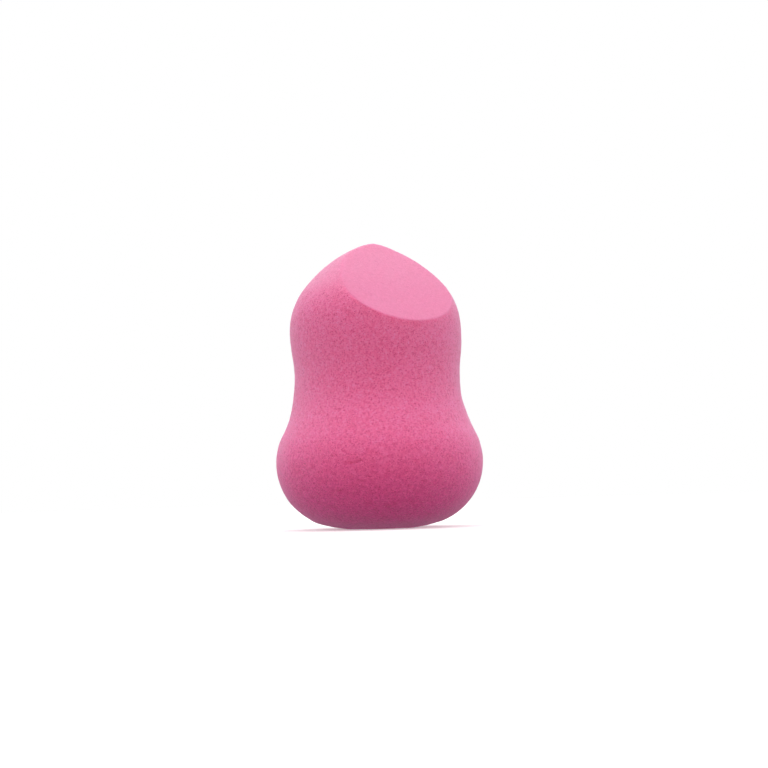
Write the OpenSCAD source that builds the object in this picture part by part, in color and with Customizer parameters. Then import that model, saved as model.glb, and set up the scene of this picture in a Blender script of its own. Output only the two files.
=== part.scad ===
// Gourd-shaped makeup sponge, one body of soft foam: two bulbs, the shallow waist between them,
// and one flat slanting cut that takes the front of the upper bulb away.
// Millimetres, +Z up along the axis, origin at the centre of the resting face, cut facing -Y.

/* [Lower bulb] */
// Greatest diameter of the lower bulb
low_bulb_d = 43; // [41:0.5:46]
// Height of that greatest diameter above the resting face
low_bulb_z = 13.8; // [13:0.1:14.8]
// Radius of the gently crowned underside
underside_r = 48; // [42:1:56]
// Diameter of the flat resting face
rest_d = 13; // [8:0.5:18]

/* [Waist] */
// Smallest diameter of the waist
waist_d = 34.6; // [33.6:0.1:35.2]
// Height of the waist above the resting face
waist_z = 31; // [30:0.1:32.5]
// Radius of the hollow below the waist, down to the lower bulb
hollow_low_r = 25; // [18:0.5:29]
// Radius of the hollow above the waist, up to the upper bulb
hollow_up_r = 36; // [20:1:60]

/* [Upper bulb] */
// Greatest diameter of the upper bulb
up_bulb_d = 36; // [35.4:0.1:37]
// Height of that greatest diameter above the resting face
up_bulb_z = 42.3; // [41:0.1:43.5]
// Radius of the shoulder that turns the side of the bulb inward
shoulder_r = 12; // [9:0.5:14]
// Radius of the flatter flank between the shoulder and the tip
flank_r = 31; // [27:0.5:40]
// Radius of the blunt tip
tip_r = 2.5; // [1.5:0.1:4]
// Height of the uncut tip above the resting face
tip_z = 60.2; // [58.8:0.1:61.6]

/* [Slanting cut] */
// Angle between the cut's outward normal and the axis, in degrees
cut_tilt = 46; // [38:1:52]
// Depth of the cut below the uncut tip, measured down the axis
cut_depth = 0.6; // [0.4:0.1:2]

/* [Hidden] */

// Sides of the turned body
$fn = 180;

// Longest step between two points on the arcs of the outline
outline_step = 1.2;

// Radii of the resting face, the bulbs and the waist
rest_r = rest_d / 2;
low_r = low_bulb_d / 2;
waist_r = waist_d / 2;
up_r = up_bulb_d / 2;

// The half outline is a chain of arcs, each one tangent to the next.
// An arc's centre is [distance from the axis, height], and its angles start at the outward direction.

// The underside's arc is centred on the axis and begins at the rim of the resting face.
underside_c = [0, sqrt(pow(underside_r, 2) - pow(rest_r, 2))];
underside_start = -acos(rest_r / underside_r);

// The belly's arc touches the underside's arc and stands upright at the greatest diameter.
belly_drop = underside_c[1] - low_bulb_z;
belly_r = (pow(underside_r, 2) - pow(low_r, 2) - pow(belly_drop, 2)) / (2 * (underside_r - low_r));
belly_c = [low_r - belly_r, low_bulb_z];
belly_start = -atan2(belly_drop, belly_c[0]);

// A bulging arc and a hollow arc that stand upright at their far ends turn through one angle.
// That angle and the sum of their radii follow from the span between those ends.
function turn(span) = 2 * atan2(span[0], span[1]);
function radius_sum(span) = span[1] / sin(turn(span));

// From the lower bulb up to the waist
low_span = [low_r - waist_r, waist_z - low_bulb_z];
brow_r = radius_sum(low_span) - hollow_low_r;
brow_c = [low_r - brow_r, low_bulb_z];
hollow_low_c = [waist_r + hollow_low_r, waist_z];

// From the waist up to the upper bulb
up_span = [up_r - waist_r, up_bulb_z - waist_z];
swell_r = radius_sum(up_span) - hollow_up_r;
swell_c = [up_r - swell_r, up_bulb_z];
hollow_up_c = [waist_r + hollow_up_r, waist_z];

// The flank's arc is the large one that both the shoulder's arc and the tip's arc touch from within.
shoulder_c = [up_r - shoulder_r, up_bulb_z];
tip_c = [0, tip_z - tip_r];
to_tip = tip_c - shoulder_c;
ahead = to_tip / norm(to_tip);
inward = [-ahead[1], ahead[0]];
from_shoulder = flank_r - shoulder_r;
from_tip = flank_r - tip_r;
along = (pow(from_shoulder, 2) - pow(from_tip, 2) + pow(norm(to_tip), 2)) / (2 * norm(to_tip));
flank_c = shoulder_c + along * ahead + sqrt(pow(from_shoulder, 2) - pow(along, 2)) * inward;
flank_start = atan2(shoulder_c[1] - flank_c[1], shoulder_c[0] - flank_c[0]);
flank_end = atan2(tip_c[1] - flank_c[1], tip_c[0] - flank_c[0]);

// The block that makes the cut reaches past the whole body.
cut_reach = low_bulb_d + tip_z;

// Points along an arc, without its first one, which ends the arc before it
function arc(centre, radius, start, end) =
    let (steps = ceil(radius * abs(end - start) * PI / 180 / outline_step))
    [for (i = [1 : steps]) let (a = start + (end - start) * i / steps) centre + radius * [cos(a), sin(a)]];

// Half outline of the uncut body, from the resting face up to the tip
half_outline = concat(
    [[0, 0], [rest_r, 0]],
    arc(underside_c, underside_r, underside_start, belly_start),
    arc(belly_c, belly_r, belly_start, 0),
    arc(brow_c, brow_r, 0, turn(low_span)),
    arc(hollow_low_c, hollow_low_r, 180 + turn(low_span), 180),
    arc(hollow_up_c, hollow_up_r, 180, 180 - turn(up_span)),
    arc(swell_c, swell_r, -turn(up_span), 0),
    arc(shoulder_c, shoulder_r, 0, flank_start),
    arc(flank_c, flank_r, flank_start, flank_end),
    arc(tip_c, tip_r, flank_end, 90)
);

// Block whose lower face is the plane of the cut
module cut_block() {
    translate([0, 0, tip_z - cut_depth]) rotate([cut_tilt, 0, 0])
        translate([-cut_reach / 2, -cut_reach / 2, 0]) cube(cut_reach);
}

// The one piece of foam
module foam_body() {
    color("palevioletred") difference() {
        rotate_extrude() polygon(half_outline);
        cut_block();
    }
}

foam_body();
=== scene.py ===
"""A gourd-shaped makeup sponge of soft pink foam, standing on a plain pale floor.

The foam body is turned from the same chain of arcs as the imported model, sliced flat on the slant, given an
even skin of small faces, and then worked as soft foam: slow unevenness, small dents and open pores.
"""
import logging
import math
import random
from contextlib import contextmanager
from dataclasses import dataclass
from enum import Enum
from typing import Iterator

import bpy
import numpy as np
from mathutils import Matrix, Vector
from mathutils.kdtree import KDTree


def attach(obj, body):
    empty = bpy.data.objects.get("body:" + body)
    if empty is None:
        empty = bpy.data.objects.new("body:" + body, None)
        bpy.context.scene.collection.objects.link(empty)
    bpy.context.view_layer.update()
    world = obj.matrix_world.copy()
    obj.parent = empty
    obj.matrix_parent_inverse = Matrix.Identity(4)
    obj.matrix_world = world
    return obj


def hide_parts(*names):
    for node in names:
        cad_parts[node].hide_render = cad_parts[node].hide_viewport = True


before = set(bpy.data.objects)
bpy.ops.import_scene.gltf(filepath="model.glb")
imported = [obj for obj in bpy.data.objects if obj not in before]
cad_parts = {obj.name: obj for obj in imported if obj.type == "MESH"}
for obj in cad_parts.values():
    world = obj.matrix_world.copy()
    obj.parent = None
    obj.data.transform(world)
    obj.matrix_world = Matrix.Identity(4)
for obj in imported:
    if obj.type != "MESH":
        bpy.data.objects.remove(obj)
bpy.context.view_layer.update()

LOG = logging.getLogger("makeup_sponge")

MM = 0.001
FRAME_PIXELS = 768
SENSOR_MM = 36.0
NODE = "foam_body"
BODY = "root"

# Numbers of a Mix node's sockets when it mixes colours
MIX_SHARE, MIX_FIRST, MIX_SECOND, MIX_RESULT = 0, 6, 7, 2

Colour = tuple[float, float, float]
Point = tuple[float, float]


class Socket(Enum):
    """Kinds of socket that a node group may have."""

    NUMBER = "NodeSocketFloat"
    VECTOR = "NodeSocketVector"


class Mark(Enum):
    """Names of the values that the foam body's mesh carries for its material."""

    CUT = "cut_face"
    # painted light: where the cut's paler colour is painted on the lit skin beside the cut
    PAINTED_LIGHT = "pale_dye"
    # how deep each point lies in a pit, which the material also darkens as painted shade
    PIT = "pit_depth"


def deselect_all() -> None:
    """Leaves object mode if need be and deselects every object."""
    if bpy.context.object is not None and bpy.context.object.mode != "OBJECT":
        bpy.ops.object.mode_set(mode="OBJECT")
    bpy.ops.object.select_all(action="DESELECT")


def take(piece: bpy.types.Object) -> None:
    """Makes a piece the only selected object and the active one.

    Args:
        piece: The object that the next operators act on.
    """
    deselect_all()
    piece.select_set(True)
    bpy.context.view_layer.objects.active = piece


@contextmanager
def edit_mode(piece: bpy.types.Object) -> Iterator[None]:
    """Opens a piece in edit mode with all of it selected, and goes back to object mode afterwards.

    Args:
        piece: The mesh object to edit.
    """
    take(piece)
    bpy.ops.object.mode_set(mode="EDIT")
    bpy.ops.mesh.select_mode(type="VERT")
    bpy.ops.mesh.select_all(action="SELECT")
    yield
    bpy.ops.object.mode_set(mode="OBJECT")


def apply_modifier(piece: bpy.types.Object, kind: str, **settings: object) -> None:
    """Adds a modifier to a piece and applies it.

    Args:
        piece: The object that the modifier shapes.
        kind: Blender's name for the kind of modifier.
        **settings: The modifier's own settings.
    """
    take(piece)
    modifier = piece.modifiers.new(kind.lower(), kind)
    for name, value in settings.items():
        setattr(modifier, name, value)
    bpy.ops.object.modifier_apply(modifier=modifier.name)


def places(mesh: bpy.types.Mesh) -> np.ndarray:
    """Reads where the points of a mesh are.

    Args:
        mesh: The mesh.

    Returns:
        The places, one row each.
    """
    found = np.empty(len(mesh.vertices) * 3)
    mesh.vertices.foreach_get("co", found)
    return found.reshape(-1, 3)


def outward(mesh: bpy.types.Mesh) -> np.ndarray:
    """Reads which way the points of a mesh face.

    Args:
        mesh: The mesh.

    Returns:
        The normals, one row each.
    """
    found = np.empty(len(mesh.vertices) * 3)
    mesh.vertex_normals.foreach_get("vector", found)
    return found.reshape(-1, 3)


def put_places(mesh: bpy.types.Mesh, moved: np.ndarray) -> None:
    """Moves a mesh's points to new places.

    Args:
        mesh: The mesh to change.
        moved: The new places, one row each.
    """
    mesh.vertices.foreach_set("co", moved.ravel())
    mesh.update()


def put_mark(mesh: bpy.types.Mesh, mark: Mark, values: np.ndarray) -> None:
    """Stores one value per point on a mesh, for its material to read.

    Args:
        mesh: The mesh that carries the values.
        mark: What the values mean.
        values: One number per point.
    """
    layer = mesh.attributes.new(mark.value, "FLOAT", "POINT")
    layer.data.foreach_set("value", values)


def smooth_step(low: float, high: float, value: np.ndarray) -> np.ndarray:
    """Returns 0 below low, 1 above high and a smooth rise between them."""
    t = np.clip((value - low) / (high - low), 0.0, 1.0)
    return t * t * (3.0 - 2.0 * t)


class NodeBench:
    """A node tree with short ways to add and join nodes."""

    def __init__(self, tree: bpy.types.NodeTree) -> None:
        """Starts work on a node tree."""
        self.tree = tree

    def add(self, kind: str, label: str = "", **settings: object) -> bpy.types.Node:
        """Adds a node.

        Args:
            kind: Blender's name for the kind of node, without its ShaderNode prefix.
            label: What the node is for.
            **settings: The node's own settings.

        Returns:
            The new node.
        """
        node = self.tree.nodes.new(kind if kind.startswith("Node") else "ShaderNode" + kind)
        node.label = label
        for name, value in settings.items():
            setattr(node, name, value)
        return node

    def feed(self, socket: bpy.types.NodeSocket, value: object) -> None:
        """Gives an input its value, which is a number, a colour, a vector or another node's output.

        Args:
            socket: The input.
            value: What feeds it.
        """
        if isinstance(value, bpy.types.NodeSocket):
            self.tree.links.new(value, socket)
        elif isinstance(value, tuple) and socket.type == "RGBA":
            socket.default_value = (*value, 1.0)
        else:
            socket.default_value = value

    def math(self, operation: str, *values: object, clamp: bool = False) -> bpy.types.NodeSocket:
        """Works out one number from others.

        Args:
            operation: Blender's name for the sum.
            *values: The numbers or outputs it takes.
            clamp: Whether the result is kept between 0 and 1.

        Returns:
            The result.
        """
        node = self.add("Math", operation=operation, use_clamp=clamp)
        for socket, value in zip(node.inputs, values):
            self.feed(socket, value)
        return node.outputs[0]

    def ramp(
        self, value: object, low: object, high: object, to_low: object = 0.0, to_high: object = 1.0
    ) -> bpy.types.NodeSocket:
        """Carries a number smoothly from one range to another.

        Args:
            value: The number.
            low: Where the range begins.
            high: Where the range ends.
            to_low: Result at the beginning.
            to_high: Result at the end.

        Returns:
            The result's socket.
        """
        node = self.add("MapRange", interpolation_type="SMOOTHSTEP")
        names = ("Value", "From Min", "From Max", "To Min", "To Max")
        for name, number in zip(names, (value, low, high, to_low, to_high)):
            self.feed(node.inputs[name], number)
        return node.outputs["Result"]

    def blend(self, share: object, first: object, second: object, kind: str = "MIX") -> bpy.types.NodeSocket:
        """Mixes two colours.

        Args:
            share: How much of the second colour is taken.
            first: The first colour.
            second: The second colour.
            kind: Blender's name for the way of mixing.

        Returns:
            The mixed colour.
        """
        node = self.add("Mix", data_type="RGBA", blend_type=kind)
        self.feed(node.inputs[MIX_SHARE], share)
        self.feed(node.inputs[MIX_FIRST], first)
        self.feed(node.inputs[MIX_SECOND], second)
        return node.outputs[MIX_RESULT]

    def group(self, tree: bpy.types.NodeTree, label: str, **values: object) -> bpy.types.Node:
        """Places a node group.

        Args:
            tree: The group.
            label: What it does here.
            **values: Its inputs, with an underscore for each space in a name.

        Returns:
            The group's node.
        """
        node = self.add("Group", label, node_tree=tree)
        for name, value in values.items():
            self.feed(node.inputs[name.replace("_", " ")], value)
        return node


def new_group(
    name: str, inputs: dict[str, tuple[Socket, object]], outputs: dict[str, Socket]
) -> tuple[NodeBench, dict[str, bpy.types.NodeSocket], bpy.types.Node]:
    """Starts a shader node group with named sockets.

    Args:
        name: The group's name.
        inputs: The kind and first value of each input, by name.
        outputs: The kind of each output, by name.

    Returns:
        The bench for its nodes, its inputs by name, and its output node.
    """
    tree = bpy.data.node_groups.new(name, "ShaderNodeTree")
    for title, (kind, value) in inputs.items():
        made = tree.interface.new_socket(title, in_out="INPUT", socket_type=kind.value)
        if value is not None:
            made.default_value = value
    for title, kind in outputs.items():
        tree.interface.new_socket(title, in_out="OUTPUT", socket_type=kind.value)
    bench = NodeBench(tree)
    entry, leave = bench.add("NodeGroupInput"), bench.add("NodeGroupOutput")
    return bench, {title: entry.outputs[title] for title in inputs}, leave


@dataclass(frozen=True)
class FoamCells:
    """The pattern of the foam's cells, whose distances are shares of a cell's width.

    A pair gives where a soft edge begins and ends: the wall of a cell, the mouth of a pore, the mouth of a
    wide pore, and the draw above which a wide cell is open. A scale is a share of the cells per metre.
    """

    usual_cells: float = 3900.0
    usual_open_share: float = 0.9
    wobble_scale: float = 0.9
    wobble_detail: float = 1.0
    wobble_reach: float = 0.7
    wall: Point = (0.25, 0.72)
    mouth: Point = (0.10, 0.52)
    full_depth: float = 1.3
    wide_scale: float = 0.55
    wide_mouth: Point = (0.12, 0.40)
    wide_open: Point = (0.6, 1.2)
    mottle_scale: float = 0.45
    mottle_detail: float = 1.5
    mottle_share: float = 0.8
    middle_tone: float = 0.5

    def bent_place(self, bench: NodeBench, place: object, cells: object) -> bpy.types.NodeSocket:
        """Bends the cell walls a little, as those of real foam are.

        Args:
            bench: The group's bench.
            place: The place on the object.
            cells: The number of cells per metre.

        Returns:
            The place, moved by a slow noise.
        """
        wobble = bench.add("TexNoise", "bends the cell walls")
        bench.feed(wobble.inputs["Vector"], place)
        bench.feed(wobble.inputs["Scale"], bench.math("MULTIPLY", cells, self.wobble_scale))
        bench.feed(wobble.inputs["Detail"], self.wobble_detail)
        bent = bench.add("VectorMath", "bent place", operation="MULTIPLY_ADD")
        bench.feed(bent.inputs[0], wobble.outputs["Color"])
        stretch = bench.add("CombineXYZ")
        for axis in stretch.inputs:
            bench.feed(axis, bench.math("DIVIDE", self.wobble_reach, cells))
        bench.feed(bent.inputs[1], stretch.outputs[0])
        bench.feed(bent.inputs[2], place)
        return bent.outputs[0]

    def layer(
        self, bench: NodeBench, label: str, place: object, scale: object
    ) -> tuple[bpy.types.NodeSocket, bpy.types.Node]:
        """Draws one layer of cells.

        Args:
            bench: The group's bench.
            label: What the layer is.
            place: The bent place on the object.
            scale: The number of its cells per metre.

        Returns:
            The distance from the cell's middle, and a node that puts out the cell's own random numbers.
        """
        drawn = bench.add("TexVoronoi", label, feature="F1")
        bench.feed(drawn.inputs["Vector"], place)
        bench.feed(drawn.inputs["Scale"], scale)
        lot = bench.add("SeparateColor", "each cell's own numbers")
        bench.feed(lot.inputs[0], drawn.outputs["Color"])
        return drawn.outputs["Distance"], lot

    def group(self) -> bpy.types.NodeTree:
        """Makes the node group that draws the cells.

        Returns:
            A group that gives each place its tone between deep and pale, how far it lies in an open cell, and
            its height, which is 0 between the cells and falls inside them.
        """
        bench, given, leave = new_group(
            "Foam cells",
            {
                "Place": (Socket.VECTOR, None),
                "Cells per metre": (Socket.NUMBER, self.usual_cells),
                "Open share": (Socket.NUMBER, self.usual_open_share),
            },
            {"Tone": Socket.NUMBER, "Pore": Socket.NUMBER, "Height": Socket.NUMBER},
        )
        cells = given["Cells per metre"]
        bent = self.bent_place(bench, given["Place"], cells)
        far, lot = self.layer(bench, "fine cells", bent, cells)
        inside = bench.ramp(far, *self.wall, 1.0, 0.0)
        stray = bench.math("MULTIPLY", inside, bench.math("SUBTRACT", lot.outputs[0], self.middle_tone))
        hollow = bench.ramp(far, *self.mouth, 1.0, 0.0)
        deep = bench.ramp(lot.outputs[1], bench.math("SUBTRACT", 1.0, given["Open share"]), self.full_depth)
        small_hole = bench.math("MULTIPLY", hollow, deep)
        far, lot = self.layer(bench, "wide cells", bent, bench.math("MULTIPLY", cells, self.wide_scale))
        hollow = bench.ramp(far, *self.wide_mouth, 1.0, 0.0)
        big_hole = bench.math("MULTIPLY", hollow, bench.ramp(lot.outputs[1], *self.wide_open))
        pore = bench.math("MAXIMUM", small_hole, big_hole)
        mottle = bench.add("TexNoise", "uneven dye")
        bench.feed(mottle.inputs["Vector"], given["Place"])
        bench.feed(mottle.inputs["Scale"], bench.math("MULTIPLY", cells, self.mottle_scale))
        bench.feed(mottle.inputs["Detail"], self.mottle_detail)
        uneven = bench.math("SUBTRACT", mottle.outputs[0], self.middle_tone)
        tone = bench.math("MULTIPLY_ADD", uneven, self.mottle_share, stray)
        bench.feed(leave.inputs["Tone"], bench.math("ADD", tone, self.middle_tone))
        bench.feed(leave.inputs["Pore"], pore)
        bench.feed(leave.inputs["Height"], bench.math("SUBTRACT", 0.0, pore))
        return bench.tree


@dataclass(frozen=True)
class FoamFace:
    """How one face of the foam looks: its dye, its cells per metre and how strongly they show.

    Colours are linear. tone is how far a single cell's colour strays from the dye, as a share of it. pore is
    the darker colour painted into the pores as painted shade.
    """

    dye: Colour
    pore: Colour
    cells: float
    open_share: float
    tone: float
    pore_share: float
    relief: float


@dataclass(frozen=True)
class PinkFoam:
    """The finish of dyed foam: a deep pink turned skin and a paler, finer cut face.

    Colours are linear. Lengths are in metres. The calm share is how much weaker the cells show under the
    painted light beside the cut. Between two heights one painted shade darkens the cut towards its lower end,
    and another darkens and deepens the whole sponge towards its base, where its underside is in shade. The
    cut's paler dye is partly painted light from the lamp above. tone_reach is how far a cell's stray tone
    moves red, green and blue.
    """

    pattern: FoamCells = FoamCells()
    skin: FoamFace = FoamFace(
        dye=(0.99, 0.197, 0.405),
        pore=(0.66, 0.050, 0.160),
        cells=3900.0,
        open_share=1.0,
        tone=0.86,
        pore_share=0.46,
        relief=1.0,
    )
    # the cut's paler dye is partly painted light, for the lamp above that falls full on the cut
    slice: FoamFace = FoamFace(
        dye=(0.87, 0.262, 0.445),
        pore=(0.60, 0.130, 0.270),
        cells=4200.0,
        open_share=0.9,
        tone=0.26,
        pore_share=0.30,
        relief=0.4,
    )
    tone_reach: Colour = (0.55, 1.25, 1.0)
    pale_dye: Colour = (0.885, 0.243, 0.427)
    painted_light_calm: float = 0.45
    cut_painted_shade: Colour = (0.96, 0.89, 0.94)
    cut_shade_from: float = 0.056
    cut_shade_to: float = 0.045
    base_painted_shade: Colour = (0.805, 0.396, 0.737)
    base_shade_from: float = 0.0230
    base_shade_to: float = 0.0
    relief: float = 0.00012
    pit_painted_shade: float = 0.3
    roughness: float = 0.95
    specular: float = 0.05
    sheen: float = 0.35
    sheen_roughness: float = 0.5
    sheen_tint: Colour = (1.0, 0.86, 0.92)
    soft_share: float = 1.0
    soft_reach: float = 0.0012
    soft_colours: Colour = (1.0, 0.75, 0.85)

    def face(
        self,
        bench: NodeBench,
        cells: bpy.types.NodeTree,
        place: bpy.types.NodeSocket,
        look: FoamFace,
        dye: object,
        pore: object,
        strength: object,
        title: str,
    ) -> tuple[bpy.types.NodeSocket, bpy.types.NodeSocket]:
        """Draws one face of the foam.

        Args:
            bench: The material's bench.
            cells: The group of foam cells.
            place: The place on the object.
            look: How this face looks.
            dye: The colour of its cells, which on the skin carries the painted light beside the cut.
            pore: The darker colour painted deep in its pores as painted shade.
            strength: How strongly its cells show, as a share.
            title: What the face is called.

        Returns:
            The colour and the height.
        """
        node = bench.group(cells, title, Place=place, Cells_per_metre=look.cells, Open_share=look.open_share)
        stray = bench.math("SUBTRACT", node.outputs["Tone"], self.pattern.middle_tone)
        stray = bench.math("MULTIPLY", bench.math("MULTIPLY", stray, look.tone), strength)
        tone = bench.add("CombineColor", "cell tones")
        for channel, reach in zip(tone.inputs, self.tone_reach):
            bench.feed(channel, bench.math("MULTIPLY_ADD", stray, reach, 1.0))
        toned = bench.blend(1.0, dye, tone.outputs[0], "MULTIPLY")
        # painted shade: the pores darkened towards the pore colour
        dark = bench.math("MULTIPLY", bench.math("MULTIPLY", node.outputs["Pore"], look.pore_share), strength)
        colour = bench.blend(dark, toned, pore)
        return colour, bench.math("MULTIPLY", node.outputs["Height"], look.relief)

    def material(self) -> bpy.types.Material:
        """Makes the foam's material.

        Returns:
            The material.
        """
        made = bpy.data.materials.new("pink_foam")
        made.use_nodes = True
        bench = NodeBench(made.node_tree)
        shader = made.node_tree.nodes["Principled BSDF"]
        place = bench.add("TexCoord").outputs["Object"]
        cells = self.pattern.group()
        on_cut = bench.add("Attribute", attribute_name=Mark.CUT.value).outputs["Fac"]
        # painted light: where the dome beside the cut is lit, the skin takes the cut's paler dye and pore
        # colour, and its cells show weaker
        pale = bench.add("Attribute", attribute_name=Mark.PAINTED_LIGHT.value).outputs["Fac"]
        pit = bench.add("Attribute", attribute_name=Mark.PIT.value).outputs["Fac"]
        dye = bench.blend(pale, self.skin.dye, self.pale_dye)
        pore = bench.blend(pale, self.skin.pore, self.slice.pore)
        calm = bench.math("MULTIPLY_ADD", pale, -self.painted_light_calm, 1.0)
        skin, skin_height = self.face(bench, cells, place, self.skin, dye, pore, calm, "turned skin")
        look = self.slice
        cut, cut_height = self.face(bench, cells, place, look, look.dye, look.pore, 1.0, "cut face")
        height_up = bench.add("SeparateXYZ", "height on the sponge")
        bench.feed(height_up.inputs[0], place)
        # painted shade: the cut face darker towards its lower end
        low = bench.ramp(height_up.outputs["Z"], self.cut_shade_to, self.cut_shade_from, 1.0, 0.0)
        cut = bench.blend(low, cut, self.cut_painted_shade, "MULTIPLY")
        colour = bench.blend(on_cut, skin, cut)
        # painted shade: the pressed pits and the belly's crease darkened towards the pore colour
        deep = bench.blend(on_cut, pore, self.slice.pore)
        colour = bench.blend(bench.math("MULTIPLY", pit, self.pit_painted_shade, clamp=True), colour, deep)
        # painted shade: the whole sponge darker and more saturated towards its base, where the underside is
        # in shade
        low = bench.ramp(height_up.outputs["Z"], self.base_shade_to, self.base_shade_from, 1.0, 0.0)
        colour = bench.blend(low, colour, self.base_painted_shade, "MULTIPLY")
        bench.feed(shader.inputs["Base Color"], colour)
        step = bench.math("SUBTRACT", cut_height, skin_height)
        height = bench.math("MULTIPLY_ADD", on_cut, step, skin_height)
        bump = bench.add("Bump", "relief of the cells")
        bench.feed(bump.inputs["Distance"], self.relief)
        bench.feed(bump.inputs["Height"], height)
        bench.feed(shader.inputs["Normal"], bump.outputs[0])
        constants = {
            "Roughness": self.roughness,
            "Specular IOR Level": self.specular,
            "Sheen Weight": self.sheen,
            "Sheen Roughness": self.sheen_roughness,
            "Sheen Tint": self.sheen_tint,
            "Subsurface Weight": self.soft_share,
            "Subsurface Scale": self.soft_reach,
            "Subsurface Radius": Vector(self.soft_colours),
        }
        for name, value in constants.items():
            bench.feed(shader.inputs[name], value)
        return made


def arc(centre: Point, radius: float, start: float, end: float, step: float) -> list[Point]:
    """Points along an arc, without its first one, which ends the arc before it.

    Args:
        centre: Distance from the axis and height of the arc's centre.
        radius: The arc's radius.
        start: Angle of the arc's beginning in radians, from the outward direction.
        end: Angle of the arc's end.
        step: Longest distance between two points.

    Returns:
        The points as distance from the axis and height.
    """
    steps = max(1, math.ceil(radius * abs(end - start) / step))
    angles = [start + (end - start) * i / steps for i in range(1, steps + 1)]
    return [(centre[0] + radius * math.cos(a), centre[1] + radius * math.sin(a)) for a in angles]


@dataclass(frozen=True)
class GourdOutline:
    """Sizes of the turned body in millimetres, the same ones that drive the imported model.

    rest_steps is how many faces the flat resting face has from its middle to its edge.
    """

    low_bulb_d: float = 43.0
    low_bulb_z: float = 13.8
    underside_r: float = 48.0
    rest_d: float = 13.0
    waist_d: float = 34.6
    waist_z: float = 31.0
    hollow_low_r: float = 25.0
    hollow_up_r: float = 36.0
    up_bulb_d: float = 36.0
    up_bulb_z: float = 42.3
    shoulder_r: float = 12.0
    flank_r: float = 31.0
    tip_r: float = 2.5
    tip_z: float = 60.2
    rest_steps: int = 16

    @staticmethod
    def waist_sweep(span: Point, hollow_r: float) -> tuple[float, float]:
        """The bulging arc that meets a hollow arc when both stand upright at their far ends.

        Args:
            span: Difference in distance from the axis and in height between those ends.
            hollow_r: Radius of the hollow arc.

        Returns:
            The bulging arc's radius and the angle through which each arc turns.
        """
        turn = 2 * math.atan2(span[0], span[1])
        return span[1] / math.sin(turn) - hollow_r, turn

    def underside_and_belly(self, step: float) -> list[Point]:
        """The outline from the centre of the resting face up to the greatest diameter.

        Args:
            step: Longest distance between two points on an arc.

        Returns:
            The points as distance from the axis and height.
        """
        rest_r, low_r, big = self.rest_d / 2, self.low_bulb_d / 2, self.underside_r
        centre_z = math.sqrt(big**2 - rest_r**2)
        drop = centre_z - self.low_bulb_z
        belly_r = (big**2 - low_r**2 - drop**2) / (2 * (big - low_r))
        join = -math.atan2(drop, low_r - belly_r)
        points = [(rest_r * i / self.rest_steps, 0.0) for i in range(self.rest_steps + 1)]
        points += arc((0.0, centre_z), big, -math.acos(rest_r / big), join, step)
        return points + arc((low_r - belly_r, self.low_bulb_z), belly_r, join, 0.0, step)

    def waist(self, step: float) -> list[Point]:
        """The outline from the greatest diameter through the waist to the upper bulb.

        Args:
            step: Longest distance between two points on an arc.

        Returns:
            The points as distance from the axis and height.
        """
        low_r, waist_r, up_r = self.low_bulb_d / 2, self.waist_d / 2, self.up_bulb_d / 2
        span = (low_r - waist_r, self.waist_z - self.low_bulb_z)
        brow_r, turn = self.waist_sweep(span, self.hollow_low_r)
        points = arc((low_r - brow_r, self.low_bulb_z), brow_r, 0.0, turn, step)
        centre = (waist_r + self.hollow_low_r, self.waist_z)
        points += arc(centre, self.hollow_low_r, math.pi + turn, math.pi, step)
        span = (up_r - waist_r, self.up_bulb_z - self.waist_z)
        swell_r, turn = self.waist_sweep(span, self.hollow_up_r)
        centre = (waist_r + self.hollow_up_r, self.waist_z)
        points += arc(centre, self.hollow_up_r, math.pi, math.pi - turn, step)
        return points + arc((up_r - swell_r, self.up_bulb_z), swell_r, -turn, 0.0, step)

    def dome(self, step: float) -> list[Point]:
        """The outline from the upper bulb's greatest diameter to the uncut tip.

        Args:
            step: Longest distance between two points on an arc.

        Returns:
            The points as distance from the axis and height.
        """
        shoulder = Vector((self.up_bulb_d / 2 - self.shoulder_r, self.up_bulb_z))
        tip = Vector((0.0, self.tip_z - self.tip_r))
        gap = (tip - shoulder).length
        ahead = (tip - shoulder) / gap
        inward = Vector((-ahead.y, ahead.x))
        from_shoulder, from_tip = self.flank_r - self.shoulder_r, self.flank_r - self.tip_r
        along = (from_shoulder**2 - from_tip**2 + gap**2) / (2 * gap)
        flank = shoulder + along * ahead + math.sqrt(from_shoulder**2 - along**2) * inward
        begin = math.atan2(shoulder.y - flank.y, shoulder.x - flank.x)
        finish = math.atan2(tip.y - flank.y, tip.x - flank.x)
        points = arc(tuple(shoulder), self.shoulder_r, 0.0, begin, step)
        points += arc(tuple(flank), self.flank_r, begin, finish, step)
        return points + arc(tuple(tip), self.tip_r, finish, math.pi / 2, step)

    def points(self, step: float) -> list[Point]:
        """Returns the whole half outline, from the resting face's centre to the uncut tip."""
        return self.underside_and_belly(step) + self.waist(step) + self.dome(step)


@dataclass(frozen=True)
class RimRound:
    """One softening of the cut's rim: how far it reaches, in millimetres, and how often it is repeated.

    A middle and a spread keep it to one stretch of the rim, and fall is how sharply it ends there.
    """

    name: str
    reach: float
    repeats: int
    middle: tuple[float, float, float] = (0.0, 0.0, 0.0)
    spread: float = math.inf
    fall: int = 4


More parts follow.
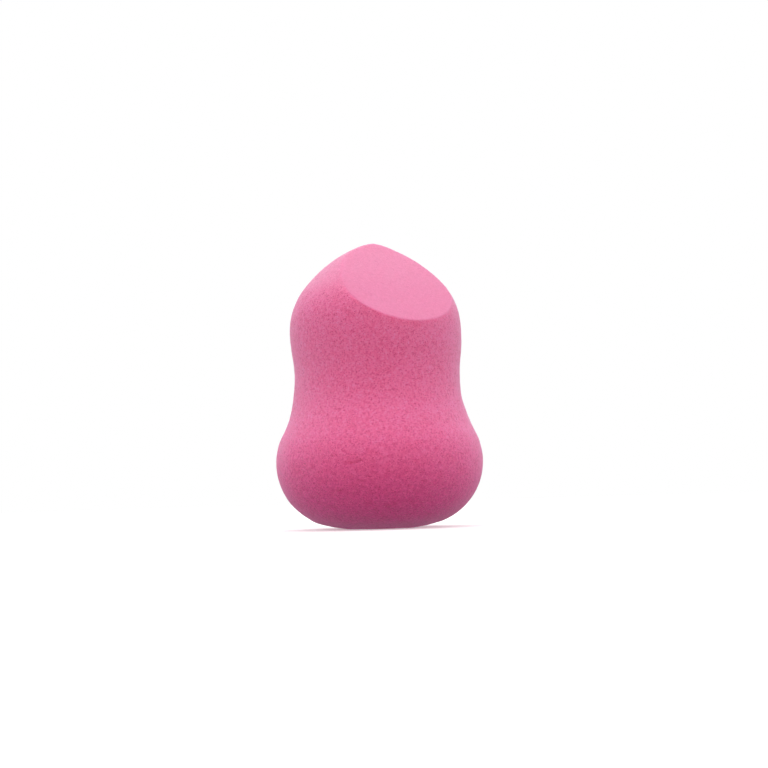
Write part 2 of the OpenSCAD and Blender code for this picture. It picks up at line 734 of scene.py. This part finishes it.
@dataclass(frozen=True)
class SlantingCut:
    """The flat cut on the upper bulb, in millimetres and degrees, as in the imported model.

    Its mark fades in between mark_from and mark_to, measured along the cut's normal from its plane.
    """

    tilt: float = 46.0
    depth: float = 0.6
    mark_from: float = -0.20
    mark_to: float = -0.04
    rounds: tuple[RimRound, ...] = (
        RimRound("whole rim", 0.9, 3),
        RimRound("left of the rim", 3.2, 30, (-12.7, -8.5, 50.8), 7.0),
    )

    def normal(self) -> Vector:
        """Returns the cut's outward normal."""
        return Vector((0.0, -math.sin(math.radians(self.tilt)), math.cos(math.radians(self.tilt))))

    def point(self, outline: GourdOutline) -> Vector:
        """Returns the point where the cut crosses the axis, in metres."""
        return Vector((0.0, 0.0, (outline.tip_z - self.depth) * MM))


@dataclass(frozen=True)
class PaintedLightStretch:
    """The skin left of the cut, in millimetres, where painted light in the cut's paler colour runs on past
    the rim.

    It stands for the light on the dome that faces up like the cut. It fades down the sponge between two
    heights, away from the cut between two depths under its plane, and towards the right within a distance of
    the middle. The softened edge itself has it in full down to a depth under the plane, and all along the rim
    there is a slight trace of it.
    """

    low: float = 43.0
    high: float = 52.0
    near: float = 3.0
    far: float = 12.5
    side: float = 5.0
    edge_low: float = 46.5
    edge_high: float = 49.0
    edge_depth: float = 0.7
    rim_share: float = 0.22
    rim_reach: float = 3.5


@dataclass(frozen=True)
class Unevenness:
    """One layer of slow waviness in the foam, in millimetres: the width of a wave and its height.

    depth is how many finer waves are added to it.
    """

    name: str
    width: float
    height: float
    depth: int = 1


@dataclass(frozen=True)
class Dent:
    """A shallow place in the foam, in millimetres.

    heading is the angle from the front towards the right, in degrees, and a negative depth is a swelling.
    """

    name: str
    heading: float
    height: float
    reach_across: float
    reach_up: float
    depth: float


@dataclass(frozen=True)
class Pores:
    """Open pores large enough to show one by one, in millimetres.

    small_bias is how strongly the small ones outnumber the large ones, depth_share is the depth as a share of
    the size, and cut_share is the share of the pores that the cut keeps.
    """

    count: int = 1500
    smallest: float = 0.26
    largest: float = 0.46
    small_bias: float = 2.5
    depth_share: float = 0.20
    cut_share: float = 0.35
    seed: int = 11


@dataclass(frozen=True)
class PoreRow:
    """A short crease in the belly where pores ran together, in millimetres.

    Each end is given by its heading in degrees and its height. deepening is how many times deeper its pores
    are than single ones of their size.
    """

    # the material darkens these pores with painted shade, as it does the others
    first: tuple[float, float] = (-43.9, 13.05)
    last: tuple[float, float] = (-35.8, 13.4)
    count: int = 11
    size: float = 0.44
    deepening: float = 1.65


@dataclass
class FoamBody:
    """The one piece of foam, from its turned outline to its pores.

    Sizes are in millimetres. The dents follow what the photograph shows of the outline and the belly. touch
    is the distance within which two places count as one. dent_edge is how softly a dent ends where the body
    turns away from its side. cut_stillness is the share of the unevenness that the cut is spared.
    """

    outline: GourdOutline = GourdOutline()
    cut: SlantingCut = SlantingCut()
    # the painted light beside the cut
    pale: PaintedLightStretch = PaintedLightStretch()
    pores: Pores = Pores()
    crease: PoreRow = PoreRow()
    turned_steps: int = 288
    outline_step: float = 0.45
    face_size: float = 0.34
    relax_rounds: int = 2
    relax_passes: int = 4
    smooth_share: float = 0.5
    least_weight: float = 0.01
    touch: float = 0.001
    dent_edge: float = 2.0
    cut_stillness: float = 0.7
    waves: tuple[Unevenness, ...] = (
        Unevenness("slow_swell", 14.0, 0.30),
        Unevenness("hand_wave", 5.0, 0.09),
        Unevenness("ground_skin", 1.3, 0.05, 2),
    )
    dents: tuple[Dent, ...] = (
        Dent("right shoulder", 63.5, 49.0, 11.0, 9.5, 0.52),
        Dent("right waist", 63.5, 27.0, 11.0, 3.0, 0.22),
        Dent("left shoulder", -116.5, 48.4, 11.0, 4.0, 0.20),
        Dent("left side", -116.5, 40.0, 11.0, 3.5, -0.20),
        Dent("left waist", -116.5, 26.7, 11.0, 3.0, -0.14),
        Dent("brow of the lower bulb", -26.5, 21.5, 16.0, 2.5, -0.25),
        Dent("right of the tip", 63.5, 60.0, 6.0, 2.0, -0.45),
        Dent("left of the tip", -116.5, 60.2, 3.0, 0.8, 0.30),
        Dent("left of the base", -116.5, 0.6, 11.0, 1.4, -0.80),
        Dent("right of the base", 63.5, 0.6, 11.0, 1.4, -0.35),
    )
    remesh_turn: tuple[float, float] = (17.0, 31.0)

    def turned_master(self) -> bpy.types.Object:
        """Spins the outline into a closed body, slices it on the slant and softens the edge.

        Returns:
            The smooth body that the even skin is laid on.
        """
        mesh = bpy.data.meshes.new("foam_master")
        points = [(r * MM, 0.0, z * MM) for r, z in self.outline.points(self.outline_step)]
        mesh.from_pydata(points, [(i, i + 1) for i in range(len(points) - 1)], [])
        master = bpy.data.objects.new("foam_master", mesh)
        bpy.context.collection.objects.link(master)
        with edit_mode(master):
            bpy.ops.mesh.spin(
                steps=self.turned_steps, angle=math.tau, center=(0, 0, 0), axis=(0, 0, 1), use_auto_merge=True
            )
            bpy.ops.mesh.select_all(action="SELECT")
            bpy.ops.mesh.remove_doubles(threshold=self.touch * MM)
            bpy.ops.mesh.normals_make_consistent(inside=False)
            bpy.ops.mesh.bisect(
                plane_co=self.cut.point(self.outline),
                plane_no=self.cut.normal(),
                use_fill=True,
                clear_outer=True,
                threshold=self.touch * MM,
            )
        return master

    def even_skin(self, master: bpy.types.Object) -> bpy.types.Object:
        """Lays a skin of small even faces on the smooth body.

        Args:
            master: The smooth body.

        Returns:
            The foam body's own object.
        """
        skin = master.copy()
        skin.data = master.data.copy()
        skin.name = skin.data.name = "foam_skin"
        bpy.context.collection.objects.link(skin)
        turn = self.off_grid()
        skin.data.transform(turn)
        apply_modifier(skin, "REMESH", mode="VOXEL", voxel_size=self.face_size * MM, adaptivity=0.0)
        skin.data.transform(turn.inverted())
        for _ in range(self.relax_rounds):
            apply_modifier(skin, "SMOOTH", factor=self.smooth_share, iterations=self.relax_passes)
            apply_modifier(skin, "SHRINKWRAP", target=master, wrap_method="NEAREST_SURFACEPOINT")
        self.soften_rim(skin, master)
        return skin

    def soften_rim(self, skin: bpy.types.Object, master: bpy.types.Object) -> None:
        """Rounds the rim of the cut, as soft foam never keeps a sharp edge.

        Args:
            skin: The foam body.
            master: The smooth body, whose rim is still sharp.
        """
        normal, at = np.array(self.cut.normal()), np.array(self.cut.point(self.outline))
        corners = places(master.data)
        rim = corners[np.abs((corners - at) @ normal) < self.touch * MM]
        tree = KDTree(len(rim))
        for i, place in enumerate(rim):
            tree.insert(place, i)
        tree.balance()
        skin_places = places(skin.data)
        from_rim = np.array([tree.find(place)[2] for place in skin_places]) / MM
        for stretch in self.cut.rounds:
            weights = 1.0 - smooth_step(stretch.reach / 2, stretch.reach, from_rim)
            from_middle = np.linalg.norm(skin_places / MM - np.array(stretch.middle), axis=1)
            weights *= np.exp(-((from_middle / stretch.spread) ** stretch.fall))
            group = skin.vertex_groups.new(name=stretch.name)
            for i in np.flatnonzero(weights > self.least_weight):
                group.add([int(i)], weights[i], "REPLACE")
            apply_modifier(
                skin,
                "SMOOTH",
                vertex_group=group.name,
                factor=self.smooth_share,
                iterations=stretch.repeats,
            )
        skin.vertex_groups.clear()

    def off_grid(self) -> Matrix:
        """Returns a turn that keeps the cut and the base out of line with the grid of the small faces."""
        across, upright = (math.radians(angle) for angle in self.remesh_turn)
        return Matrix.Rotation(across, 4, "X") @ Matrix.Rotation(upright, 4, "Z")

    def mark_cut(self, skin: bpy.types.Object) -> np.ndarray:
        """Marks which points lie on the cut face, and where the skin beside it has painted light in the cut's
        colour.

        Args:
            skin: The foam body.

        Returns:
            1 on the cut face, 0 on the turned skin and a quick change across the rim, per point.
        """
        at = places(skin.data)
        below = (at - np.array(self.cut.point(self.outline))) @ np.array(self.cut.normal()) / MM
        on_cut = smooth_step(self.cut.mark_from, self.cut.mark_to, below)
        # painted light: the cut's paler colour on the lit dome left of the cut, on its softened edge, and
        # faintly along the whole rim
        painted_light_above = smooth_step(self.pale.low, self.pale.high, at[:, 2] / MM)
        painted_light_above *= 1.0 - smooth_step(self.pale.near, self.pale.far, -below)
        to_left = smooth_step(0.0, self.pale.side, -at[:, 0] / MM)
        edge = smooth_step(self.pale.edge_low, self.pale.edge_high, at[:, 2] / MM)
        edge *= 1.0 - smooth_step(self.pale.edge_depth / 2, self.pale.edge_depth, -below)
        trace = self.pale.rim_share * (1.0 - smooth_step(0.0, self.pale.rim_reach, -below))
        beside = np.maximum(painted_light_above, edge) * to_left
        put_mark(skin.data, Mark.CUT, on_cut)
        put_mark(skin.data, Mark.PAINTED_LIGHT, np.maximum(beside, trace))
        return on_cut

    def sway(self, skin: bpy.types.Object, on_cut: np.ndarray) -> None:
        """Gives the foam its slow unevenness and its dents, more on the turned skin than on the cut.

        Args:
            skin: The foam body.
            on_cut: The marks of the cut face.
        """
        before = places(skin.data)
        for wave in self.waves:
            texture = bpy.data.textures.new(wave.name, "CLOUDS")
            texture.noise_scale = wave.width * MM
            texture.noise_depth = wave.depth
            strength = wave.height * MM
            apply_modifier(skin, "DISPLACE", texture=texture, texture_coords="LOCAL", strength=strength)
        moved = before + (places(skin.data) - before) * (1.0 - self.cut_stillness * on_cut)[:, None]
        normal = np.array(self.cut.normal())
        for dent in self.dents:
            move = self.dent_moves(dent, before)
            moved += move - (on_cut * (move @ normal))[:, None] * normal
        moved[:, 2] = np.maximum(moved[:, 2], 0.0)
        put_places(skin.data, moved)

    def dent_moves(self, dent: Dent, at: np.ndarray) -> np.ndarray:
        """How far one dent moves each point.

        Args:
            dent: The dent or swelling.
            at: The places of the points.

        Returns:
            The moves, one row each.
        """
        heading = math.radians(dent.heading)
        facing = np.array([math.sin(heading), -math.cos(heading), 0.0])
        sideways = np.array([math.cos(heading), math.sin(heading), 0.0])
        across = at @ sideways / (dent.reach_across * MM)
        up = (at[:, 2] - dent.height * MM) / (dent.reach_up * MM)
        strength = np.exp(-(across**2) - up**2)
        strength *= smooth_step(-self.dent_edge * MM, self.dent_edge * MM, at @ facing)
        return -facing[None, :] * (strength * dent.depth * MM)[:, None]

    def open_pores(self, skin: bpy.types.Object, on_cut: np.ndarray) -> None:
        """Presses the larger pores into the skin and marks them for the material, which paints shade into
        them.

        Args:
            skin: The foam body.
            on_cut: The marks of the cut face.
        """
        mesh = skin.data
        at, normals = places(mesh), outward(mesh)
        tree = KDTree(len(at))
        for i, place in enumerate(at):
            tree.insert(place, i)
        tree.balance()
        draw = random.Random(self.pores.seed)
        depth = np.zeros(len(at))
        drawn = self.crease_pores()
        range_of_sizes = self.pores.largest - self.pores.smallest
        for _ in range(self.pores.count):
            middle = draw.randrange(len(at))
            size = self.pores.smallest + range_of_sizes * draw.random() ** self.pores.small_bias
            keep = draw.random()
            if keep >= on_cut[middle] * (1.0 - self.pores.cut_share):
                drawn.append((at[middle], size, size))
        for place, size, deepest in drawn:
            for _, i, far in tree.find_range(place, size * MM):
                depth[i] = max(depth[i], deepest * (1.0 - (far / (size * MM)) ** 2) ** 2)
        moved = at - normals * (depth * self.pores.depth_share * MM)[:, None]
        moved[:, 2] = np.maximum(moved[:, 2], 0.0)
        put_places(mesh, moved)
        put_mark(mesh, Mark.PIT, depth / self.pores.largest)

    def crease_pores(self) -> list[tuple[np.ndarray, float, float]]:
        """Lays out the pores of the crease, on the belly's greatest radius.

        Returns:
            The place, the size and the depth of each pore.
        """
        row, found = self.crease, []
        for share in np.linspace(0.0, 1.0, row.count):
            heading, height = np.array(row.first) * (1.0 - share) + np.array(row.last) * share
            turn, far = math.radians(heading), self.outline.low_bulb_d / 2
            place = np.array((math.sin(turn) * far, -math.cos(turn) * far, height)) * MM
            found.append((place, row.size, row.size * row.deepening))
        return found

    def build(self) -> bpy.types.Object:
        """Makes the foam body.

        Returns:
            The finished object, at the origin, unturned and unscaled.
        """
        master = self.turned_master()
        skin = self.even_skin(master)
        bpy.data.objects.remove(master)
        on_cut = self.mark_cut(skin)
        self.sway(skin, on_cut)
        self.open_pores(skin, on_cut)
        take(skin)
        bpy.ops.object.shade_smooth()
        LOG.info("%s: %d points, %d faces", skin.name, len(skin.data.vertices), len(skin.data.polygons))
        return skin

    def dress(self, skin: bpy.types.Object, finish: PinkFoam) -> None:
        """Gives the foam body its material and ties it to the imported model.

        Args:
            skin: The foam body.
            finish: Its finish.
        """
        skin.data.materials.clear()
        skin.data.materials.append(finish.material())
        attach(skin, BODY)
        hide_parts(NODE)


@dataclass(frozen=True)
class PhotoCamera:
    """Where the camera stands, in millimetres and degrees, found by matching the photographed outline.

    The photograph looks a little up at the sponge, so the camera stands low above the floor. clip is in
    metres.
    """

    heading: float = -26.5
    distance: float = 250.0
    height: float = 6.0
    aim_height: float = 29.995
    aside: float = 1.322
    roll: float = -1.565
    focal_pixels: float = 1197.96
    clip: Point = (0.01, 20.0)

    def build(self) -> bpy.types.Object:
        """Makes the camera and sets it as the scene's own.

        Returns:
            The camera.
        """
        turn = math.radians(self.heading)
        back = Vector((math.sin(turn), -math.cos(turn), 0.0))
        right = Vector((math.cos(turn), math.sin(turn), 0.0)) * self.aside * MM
        at = back * self.distance * MM + right + Vector((0.0, 0.0, self.height * MM))
        aim = right + Vector((0.0, 0.0, self.aim_height * MM))
        data = bpy.data.cameras.new("photo_camera")
        data.sensor_width = SENSOR_MM
        data.lens = self.focal_pixels * SENSOR_MM / FRAME_PIXELS
        data.clip_start, data.clip_end = self.clip
        camera = bpy.data.objects.new("photo_camera", data)
        look = (aim - at).to_track_quat("-Z", "Y").to_matrix().to_4x4()
        camera.matrix_world = Matrix.Translation(at) @ look @ Matrix.Rotation(math.radians(self.roll), 4, "Z")
        bpy.context.collection.objects.link(camera)
        bpy.context.scene.camera = camera
        return camera


@dataclass(frozen=True)
class Studio:
    """A plain pale floor under one wide soft box, with even light from all round, in metres.

    floor_seen and floor_lift are how the floor looks, floor_bounce and floor_glow how it lights the foam.
    """

    floor_r: float = 1.5
    floor_sides: int = 96
    floor_seen: float = 0.92
    floor_lift: float = 0.35
    floor_bounce: float = 0.08
    floor_glow: float = 0.27
    box_side: float = 0.7
    box_height: float = 0.6
    box_power: float = 0.55
    room: float = 1.06

    def floor(self) -> bpy.types.Object:
        """Lays the floor.

        Returns:
            The floor, marked as stage.
        """
        deselect_all()
        bpy.ops.mesh.primitive_circle_add(
            vertices=self.floor_sides, radius=self.floor_r, fill_type="NGON"
        )
        floor = bpy.context.object
        floor.name = floor.data.name = "pale_floor"
        made = bpy.data.materials.new("pale_floor")
        made.use_nodes = True
        bench = NodeBench(made.node_tree)
        made.node_tree.nodes.clear()
        path = bench.add("LightPath")
        seen = bench.math("MAXIMUM", path.outputs["Is Camera Ray"], path.outputs["Is Glossy Ray"])
        seen = bench.math("MAXIMUM", seen, path.outputs["Is Transmission Ray"])
        pale, dull = bench.add("BsdfDiffuse", "as seen"), bench.add("BsdfDiffuse", "as it lights the foam")
        bench.feed(pale.inputs["Color"], (self.floor_seen,) * 3)
        bench.feed(dull.inputs["Color"], (self.floor_bounce,) * 3)
        lift = bench.add("Emission", "keeps the floor white up to the backdrop")
        bench.feed(lift.inputs["Strength"], self.floor_lift)
        both = bench.add("AddShader")
        bench.feed(both.inputs[0], pale.outputs[0])
        bench.feed(both.inputs[1], lift.outputs[0])
        glow = bench.add("Emission", "light thrown back under the belly")
        bench.feed(glow.inputs["Strength"], self.floor_glow)
        under = bench.add("AddShader")
        bench.feed(under.inputs[0], dull.outputs[0])
        bench.feed(under.inputs[1], glow.outputs[0])
        pick = bench.add("MixShader")
        bench.feed(pick.inputs[0], seen)
        bench.feed(pick.inputs[1], under.outputs[0])
        bench.feed(pick.inputs[2], both.outputs[0])
        leave = bench.add("OutputMaterial")
        bench.feed(leave.inputs["Surface"], pick.outputs[0])
        floor.data.materials.append(made)
        return floor

    def soft_box(self) -> bpy.types.Object:
        """Hangs the soft box over the sponge.

        Returns:
            The lamp.
        """
        data = bpy.data.lights.new("soft_box", "AREA")
        data.shape = "SQUARE"
        data.size = self.box_side
        data.energy = self.box_power
        lamp = bpy.data.objects.new("soft_box", data)
        lamp.location = (0.0, 0.0, self.box_height)
        bpy.context.collection.objects.link(lamp)
        return lamp

    def room_light(self) -> bpy.types.World:
        """Lights the object evenly from all round and shows a white backdrop.

        Returns:
            The world.
        """
        world = bpy.data.worlds.new("white_room")
        world.use_nodes = True
        bench = NodeBench(world.node_tree)
        background = world.node_tree.nodes["Background"]
        path = bench.add("LightPath")
        seen = bench.math("MAXIMUM", path.outputs["Is Camera Ray"], path.outputs["Is Glossy Ray"])
        seen = bench.math("MAXIMUM", seen, path.outputs["Is Transmission Ray"])
        bench.feed(background.inputs["Color"], (1.0, 1.0, 1.0))
        strength = bench.math("MULTIPLY_ADD", seen, 1.0 - self.room, self.room)
        bench.feed(background.inputs["Strength"], strength)
        bpy.context.scene.world = world
        return world

    def build(self) -> None:
        """Makes the floor, the lamp and the world."""
        self.floor()
        self.soft_box()
        self.room_light()
        settings = bpy.context.scene.view_settings
        settings.view_transform = "Standard"


def main() -> None:
    """Builds the sponge and its studio."""
    logging.basicConfig(level=logging.INFO, format="%(name)s: %(message)s")
    PhotoCamera().build()
    Studio().build()
    body = FoamBody()
    skin = body.build()
    body.dress(skin, PinkFoam())


if __name__ == "__main__":
    main()
